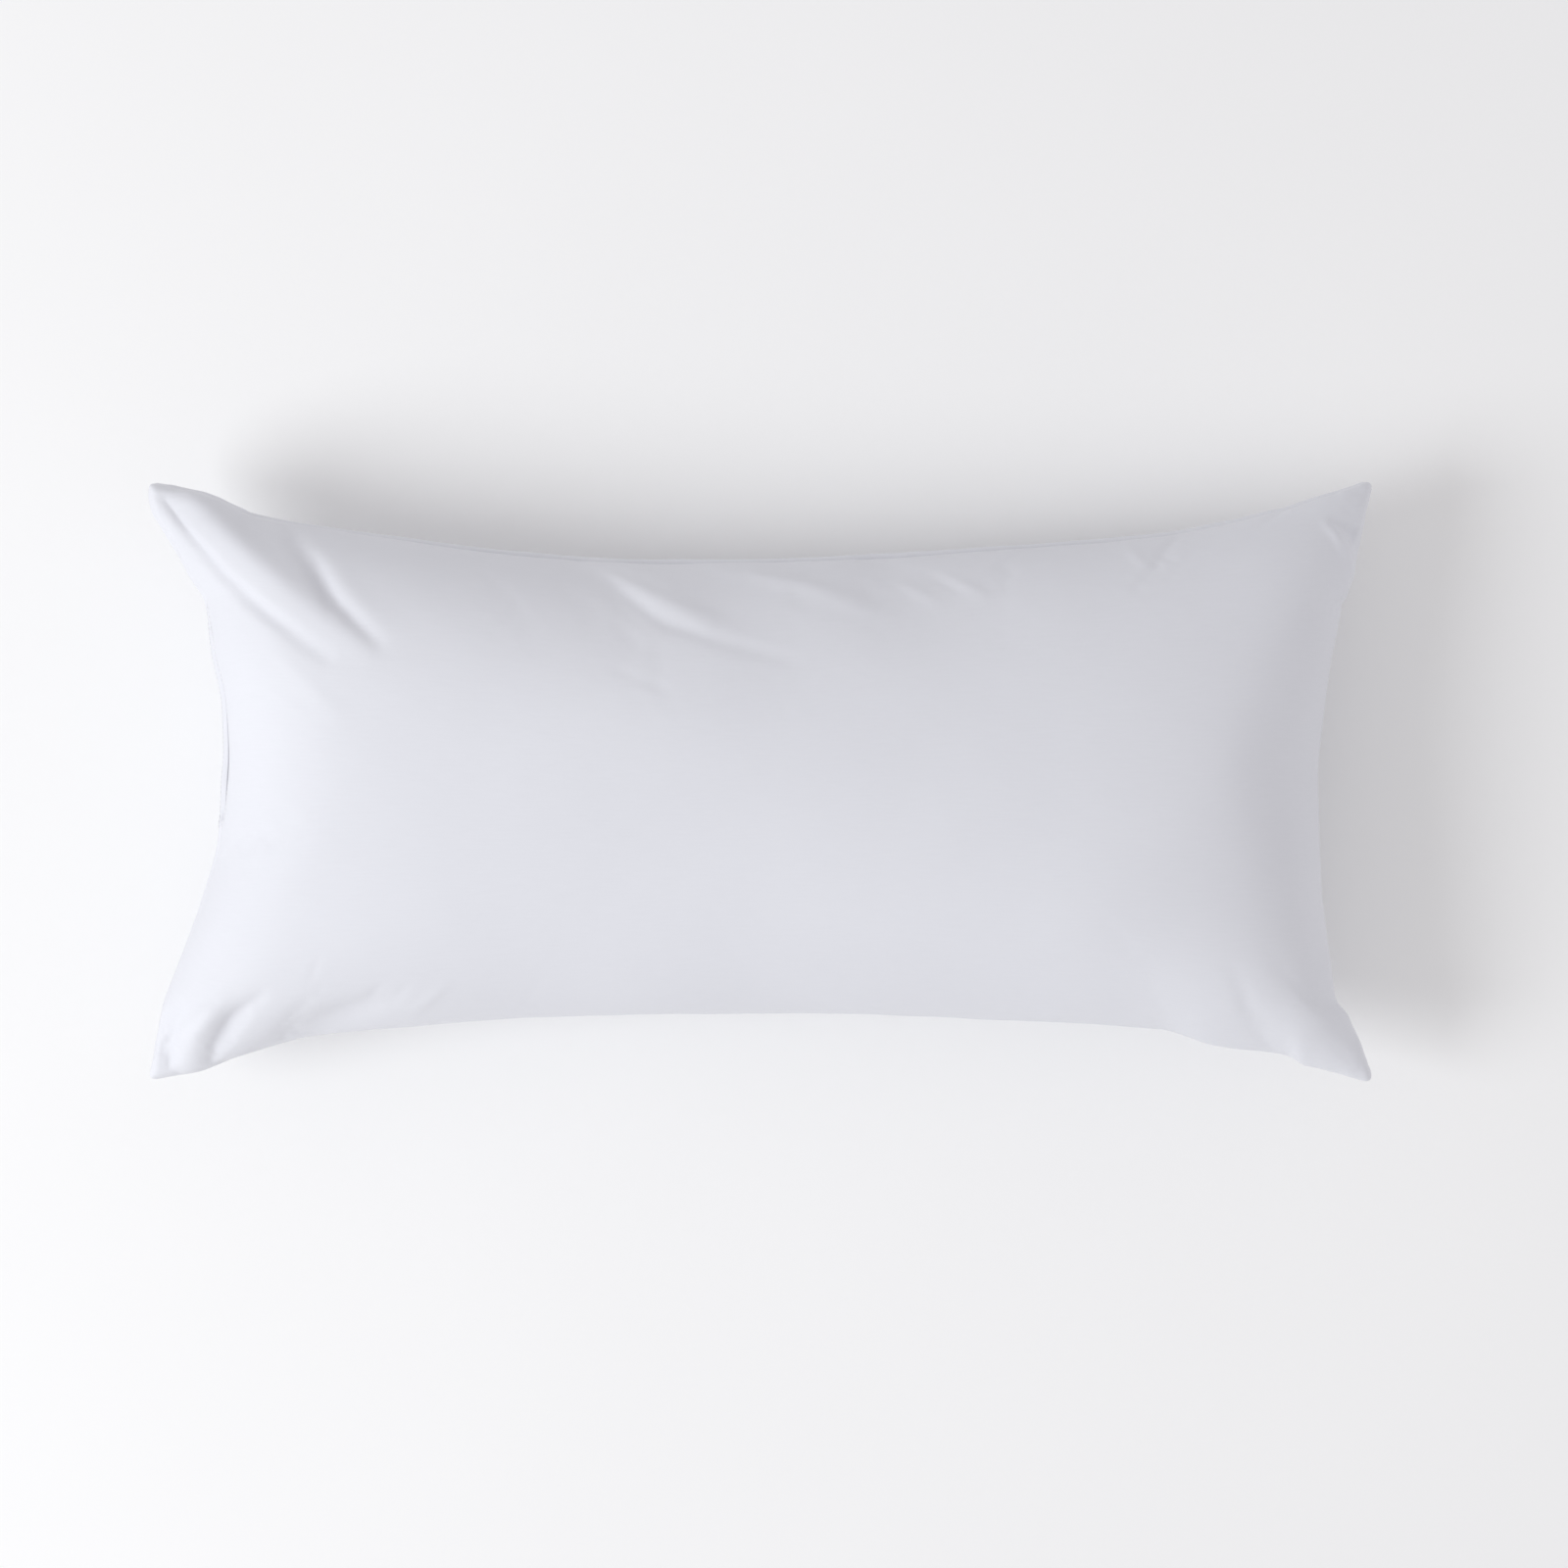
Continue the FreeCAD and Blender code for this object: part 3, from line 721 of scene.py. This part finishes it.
def moulded(name, dark, light, roughness, grain, **settings):
    """Nylon or painted metal: an almost even colour with a fine skin."""
    material, tree, shader = material_of(name, light, roughness, **settings)
    skin = noise(tree, placed(tree, None, (grain,) * 3), 1, 4)
    bumped(tree, shader, skin, 0.03 * MM, 0.5)
    tinted(tree, shader, skin, dark, light)
    return material


thread = thread_material()
nylon = moulded("zip_coil", (0.80, 0.81, 0.84), (0.86, 0.87, 0.90), 0.35, 900)
enamel = moulded("zip_metal", (0.76, 0.77, 0.79), (0.84, 0.85, 0.87), 0.28, 500,
                 Coat_Weight=0.5, Coat_Roughness=0.12)


# ---------------------------------------------------------------- making pieces

def finished(piece, slot, material, *nodes, fill=None):
    """Gives a new piece its material and body, and hides the CAD nodes it stands for."""
    piece.data.materials.append(material)
    piece.data.polygons.foreach_set("use_smooth", [True] * len(piece.data.polygons))
    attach(piece, "pillow")
    if nodes:
        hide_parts(*nodes)
    return piece


def with_cut(piece, u, v):
    """Keeps each point's place on the flat cloth, which the weave follows."""
    place = np.stack([u * cut_length / 2, v * cut_width / 2, 0 * u], -1)
    cut = piece.data.attributes.new("cut", "FLOAT_VECTOR", "POINT")
    cut.data.foreach_set("vector", place.astype(np.float32).ravel())
    return piece


def sheet_piece(name, sheet, flip):
    index = np.arange(grid_u.size).reshape(grid_u.shape)
    return with_cut(new_object(name, sheet, grid_faces(index, flip)), grid_u, grid_v)


def shell_piece(name, outer, inner, u, v, flip=False):
    """A closed piece between an outer and an inner sheet that share the same grid."""
    index = np.arange(u.size).reshape(u.shape)
    rim = np.concatenate([index[:, 0], index[-1, 1:], index[-2::-1, -1], index[0, -2:0:-1]])
    nxt = np.roll(rim, -1)
    band = np.stack([rim, rim + u.size, nxt + u.size, nxt], -1)
    if flip:
        band = band[:, ::-1]
    faces = np.concatenate([grid_faces(index, flip), grid_faces(index, not flip) + u.size, band])
    points = np.concatenate([outer.reshape(-1, 3), inner.reshape(-1, 3)])
    both_u, both_v = (np.concatenate([share.ravel()] * 2) for share in (u, v))
    return with_cut(new_object(name, points, faces), both_u, both_v)


def swept(path, inward, profile):
    """Points and faces of a closed profile of (inward, up), in millimetres, carried along a path."""
    profile = MM * np.array(profile, float)
    across = np.concatenate([inward, np.zeros((len(path), 1))], 1)
    points = (path[:, None, :] + profile[None, :, :1] * across[:, None, :]
              + profile[None, :, 1:] * np.array([0, 0, 1.0]))
    rows, columns = points.shape[:2]
    index = np.arange(rows * columns).reshape(rows, columns)
    ring = np.concatenate([index, index[:, :1]], 1)
    faces = [list(face) for face in grid_faces(ring)]
    faces += [list(index[0]), list(index[-1][::-1])]
    return points.reshape(-1, 3), faces


def joined(parts):
    """Several parts' points and faces as one part's."""
    points, faces = [], []
    for part_points, part_faces in parts:
        faces += [[k + len(points) for k in face] for face in part_faces]
        points += list(part_points)
    return points, faces


# ---------------------------------------------------------------- the cover

finished(sheet_piece("cover_top", top, False), "cover_cotton", cotton, "cover_top_panel", fill=0.85)
finished(sheet_piece("cover_bottom", bottom, True), "cover_cotton", cotton,
         "cover_bottom_panel", fill=0.85)


def edge_of(sheet, side):
    """The sheet's seam edge along one side, and the way inward from it in plan."""
    edge = {"left": sheet[0], "right": sheet[-1], "front": sheet[:, 0], "back": sheet[:, -1]}[side]
    along = np.gradient(edge[:, :2], axis=0)
    inward = np.stack([-along[:, 1], along[:, 0]], 1) * (-1 if side in ("left", "back") else 1)
    return edge, inward / np.linalg.norm(inward, axis=1, keepdims=True)


def stretch_of(sheet, side, start, end):
    """The part of an edge between two places along its side."""
    edge, inward = edge_of(sheet, side)
    place = edge[:, 1] if side in ("left", "right") else edge[:, 0]
    inside = (place >= start) & (place <= end)
    return edge[inside], inward[inside]


# Profiles of (inward, up), in millimetres.
ALLOWANCE = [(1.6, 0.3), (1.9, 0.7), (6, 0.8), (10.4, 0.7),
             (10.4, -0.7), (6, -0.8), (1.9, -0.7), (1.6, -0.3)]
OVERLOCK = [(9.2, 0.9), (10.2, 1.2), (11.6, 0.9), (12.2, 0), (11.6, -0.9), (10.2, -1.2), (9.2, -0.9)]
ZIGZAG = 0.5 * MM
OPENING_GAP = 0.002         # between the opening's ends and what stops or starts there
seam_runs = {
    "cover_seam_back": ("back", -0.350, 0.350),
    "cover_seam_front": ("front", -0.350, 0.350),
    "cover_seam_right": ("right", -0.160, 0.160),
    "cover_seam_left_front": ("left", -0.160, opening_start - OPENING_GAP),
    "cover_seam_left_back": ("left", opening_end + OPENING_GAP, 0.160),
}
overlock_runs = []
for node, (side, start, end) in seam_runs.items():
    path, inward = stretch_of(calm_top, side, start, end)
    piece = new_object(node.replace("cover_seam", "seam_allowance"), *swept(path, inward, ALLOWANCE))
    finished(piece, "cover_cotton", cotton, node)
    wavy = path.copy()
    wavy[:, :2] += ZIGZAG * np.where(np.arange(len(path)) % 2, 1, -1)[:, None] * inward
    overlock_runs.append(swept(wavy, inward, OVERLOCK))
overlock = new_object("overlock_thread", *joined(overlock_runs))
finished(overlock, "sewing_thread", thread, "overlock_stitching")

# ---- the two lips of the opening: cloth folded back on itself, and topstitched

LIP = [(-0.25, 0.3), (-0.1, -0.35), (0.5, -0.7), (1.2, -0.5),
       (1.55, 0.1), (1.6, 5), (0.6, 5), (0.35, 0.6)]
for name, sheet, up in (("upper", top, 1), ("lower", bottom, -1)):
    path, inward = stretch_of(sheet, "left", parted_start, parted_end)
    profile = [(across, up * level) for across, level in LIP]
    if up < 0:
        profile.reverse()
    lip = new_object("closure_lip_" + name, *swept(path, inward, profile))
    finished(lip, "cover_cotton", cotton, "closure_hem_" + name)

STITCH_ROW = 4              # the row of cells in from the seam that the stitches lie on
STITCH_PITCH = 0.0032
STITCH_LENGTH = 0.0024
THREAD_RADIUS = 0.22 * MM
STITCH_LIFTS = MM * np.array([-0.1, 0.18, 0.25, 0.25, 0.18, -0.1])   # above the cloth, end to end
RING = 6                    # points round a thread


def stitch(centre, out):
    """One stitch along a line of centres: points and faces."""
    angles = np.linspace(0, 2 * np.pi, RING + 1)[:-1]
    side = np.cross(out, np.array([0, 1.0, 0]))
    points = []
    for spot, height, n, s in zip(centre, STITCH_LIFTS, out, side):
        points += [spot + n * height + THREAD_RADIUS * (np.cos(a) * n + np.sin(a) * s) for a in angles]
    faces = []
    for k in range(len(centre) - 1):
        for m in range(RING):
            a, b = RING * k + m, RING * k + (m + 1) % RING
            faces.append([a, b, b + RING, a + RING])
    return points, faces


def stitches(sheet, outward):
    """The stitches that lie on a panel along its lip, as parts."""
    column = sheet[STITCH_ROW]
    normal = normals_of(sheet, outward)[STITCH_ROW]
    start, end = opening_start + OPENING_GAP, opening_end - OPENING_GAP
    parts = []
    for first in np.arange(start, end - STITCH_LENGTH, STITCH_PITCH):
        at = np.linspace(first, first + STITCH_LENGTH, len(STITCH_LIFTS))
        centre = np.stack([np.interp(at, column[:, 1], column[:, axis]) for axis in range(3)], 1)
        out = np.stack([np.interp(at, column[:, 1], normal[:, axis]) for axis in range(3)], 1)
        parts.append(stitch(centre, out))
    return parts


topstitch = new_object("closure_topstitch", *joined(stitches(top, 1) + stitches(bottom, -1)))
finished(topstitch, "sewing_thread", thread, "zip_tape_stitching")


# ---------------------------------------------------------------- the inner pillow

COARSE = 3                  # the inner sheets have every third point of the cover's
INNER_CELLS = 6             # reach of their smoothing
# How far inside the cover each layer lies: in from the sides, and down from the face.
TICKING_INSET = (0.021, 0.0055)
BATTING_OUTER = (0.040, 0.0105)
BATTING_INNER = (0.054, 0.0245)
CORE_INSET = (0.056, 0.030)


def drawn_inside(sheet, inset, step=COARSE):
    """A smoother copy of a cover sheet, smaller all round by about the inset."""
    soft = sheet.copy()
    for axis in (0, 1):
        soft = blurred(soft, INNER_CELLS, axis)
    inward, sink = inset
    soft[:, :, 0] *= 1 - inward / chord_length
    soft[:, :, 1] *= 1 - inward / chord_width
    rise = crown_rise if soft[:, :, 2].max() > seam_level * 1.2 else seam_level
    soft[:, :, 2] = seam_level + (soft[:, :, 2] - seam_level) * (1 - sink / rise)
    return soft[::step, ::step]


coarse_u, coarse_v = grid_u[::COARSE, ::COARSE], grid_v[::COARSE, ::COARSE]
coarse_index = np.arange(coarse_u.size).reshape(coarse_u.shape)


def lumpy(sheet, height, reach):
    """A coarse sheet with random lumps, which fade towards the seam."""
    lumps = random_field(sheet.shape[:2], (reach, reach), height)
    lumps *= 1 - np.exp(-seam_distance(coarse_u, coarse_v) / 0.03)
    sheet = sheet.copy()
    sheet[:, :, 2] += lumps
    return sheet


for name, sheet, flip in (("top", calm_top, False), ("bottom", calm_bottom, True)):
    skin = new_object("ticking_" + name, drawn_inside(sheet, TICKING_INSET), grid_faces(coarse_index, flip))
    finished(with_cut(skin, coarse_u, coarse_v), "ticking_cotton", ticking,
             f"ticking_{name}_panel", fill=0.85)
    outer = lumpy(drawn_inside(sheet, BATTING_OUTER), 0.5 * MM, 3)
    inner = lumpy(drawn_inside(sheet, BATTING_INNER), 1.0 * MM, 4)
    piece = shell_piece("batting_" + name, outer, inner, coarse_u, coarse_v, flip)
    finished(piece, "batting", batting, f"batting_wrap_{name}", fill=0.7)

core_top = lumpy(drawn_inside(calm_top, CORE_INSET), 1.6 * MM, 4)
core_bottom = lumpy(drawn_inside(calm_bottom, CORE_INSET), 1.6 * MM, 4)
core = shell_piece("fill_core_fibre", core_top, core_bottom, coarse_u, coarse_v)
finished(core, "fill_fibre", fibre, "fill_core", fill=0.8)

ticking_edge = drawn_inside(calm_top, TICKING_INSET, 1)
TICKING_SEAM = [(1.2, 0.4), (1.6, 0.7), (8.4, 0.7), (8.8, 0.3),
                (8.8, -0.3), (8.4, -0.7), (1.6, -0.7), (1.2, -0.4)]
ticking_runs = []
for side, reach in (("back", 0.335), ("front", 0.335), ("left", 0.140), ("right", 0.140)):
    path, inward = stretch_of(ticking_edge, side, -reach, reach)
    ticking_runs.append(swept(path[::2], inward[::2], TICKING_SEAM))
ticking_seam = new_object("ticking_seam_allowance", *joined(ticking_runs))
finished(ticking_seam, "ticking_cotton", ticking, "ticking_seam")

LABEL_UNDER = 2.2 * MM      # under the cover's top panel
LABEL_THICKNESS = 0.3 * MM
label_low, label_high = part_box("care_label")
along_x = calm_top[:, PANEL_V // 4, 0]
label_columns = np.where((along_x > label_low.x) & (along_x < label_high.x))[0]
along_y = calm_top[label_columns[0], :, 1]
label_rows = np.where((along_y > label_low.y) & (along_y < label_high.y))[0]
patch = np.ix_(label_columns, label_rows)
label_normal = normals_of(calm_top, 1)[patch]
label_outer = calm_top[patch] - LABEL_UNDER * label_normal
label = shell_piece("care_label_blank", label_outer, label_outer - LABEL_THICKNESS * label_normal,
                    grid_u[patch], grid_v[patch])
finished(label, "label_satin", satin, "care_label")


# ---------------------------------------------------------------- CAD pieces that stay

cad_finish = {
    "zip_tape_upper": tape_weave, "zip_tape_lower": tape_weave,
    "zip_coil_upper": nylon, "zip_coil_lower": nylon,
    "zip_top_stop": enamel, "zip_bottom_stop": enamel,
    "zip_slider": enamel, "zip_pull_tab": enamel,
    "closure_bartacks": thread,
}
for name, material in cad_finish.items():
    for material_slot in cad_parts[name].material_slots:
        material_slot.material = material


# ---------------------------------------------------------------- floor, light and camera

FLOOR = 8                   # half the floor's side
floor_plan = [(-FLOOR, -FLOOR, 0), (FLOOR, -FLOOR, 0), (FLOOR, FLOOR, 0), (-FLOOR, FLOOR, 0)]
floor = new_object("floor", floor_plan, [(0, 1, 2, 3)])
floor_material, floor_tree, floor_shader = material_of("floor_white", (0.93, 0.93, 0.93), 0.9)
tinted(floor_tree, floor_shader, noise(floor_tree, placed(floor_tree, None, (3, 3, 3)), 1),
       (0.925, 0.925, 0.925), (0.935, 0.935, 0.935))
floor.data.materials.append(floor_material)

world = bpy.data.worlds.new("studio")
bpy.context.scene.world = world
world.use_nodes = True
surrounding = world.node_tree.nodes["Background"]
surrounding.inputs["Color"].default_value = (1.0, 0.985, 1.0, 1)
surrounding.inputs["Strength"].default_value = 0.65


def softbox(name, place, aim, size, power, colour):
    """A round area light of the given size and power, aimed at a point."""
    lamp = bpy.data.lights.new(name, "AREA")
    lamp.shape = "DISK"
    lamp.size = size
    lamp.energy = power
    lamp.color = colour
    holder = bpy.data.objects.new(name, lamp)
    holder.location = place
    holder.rotation_euler = (Vector(aim) - Vector(place)).to_track_quat("-Z", "Y").to_euler()
    bpy.context.scene.collection.objects.link(holder)


softbox("key", (-2.77, -0.90, 2.49), (0, 0, 0.05), size=2.2, power=72, colour=(0.965, 0.99, 1.0))
softbox("fill", (3.1, -0.2, 0.5), (0, 0, 0.08), size=1.6, power=6, colour=(0.98, 0.97, 1.0))

VIEW_LENGTH = 1.0112        # what the frame's side spans at the seam's level
SENSOR = 36.0
CAMERA_PLAN = (0.0152, -0.0013)
camera = bpy.data.objects.new("camera", bpy.data.cameras.new("camera"))
camera.data.lens = SENSOR * CAMERA_HEIGHT / VIEW_LENGTH
camera.data.sensor_width = SENSOR
camera.location = (*CAMERA_PLAN, seam_level + CAMERA_HEIGHT)
bpy.context.scene.collection.objects.link(camera)
bpy.context.scene.camera = camera
bpy.context.scene.view_settings.view_transform = "Standard"
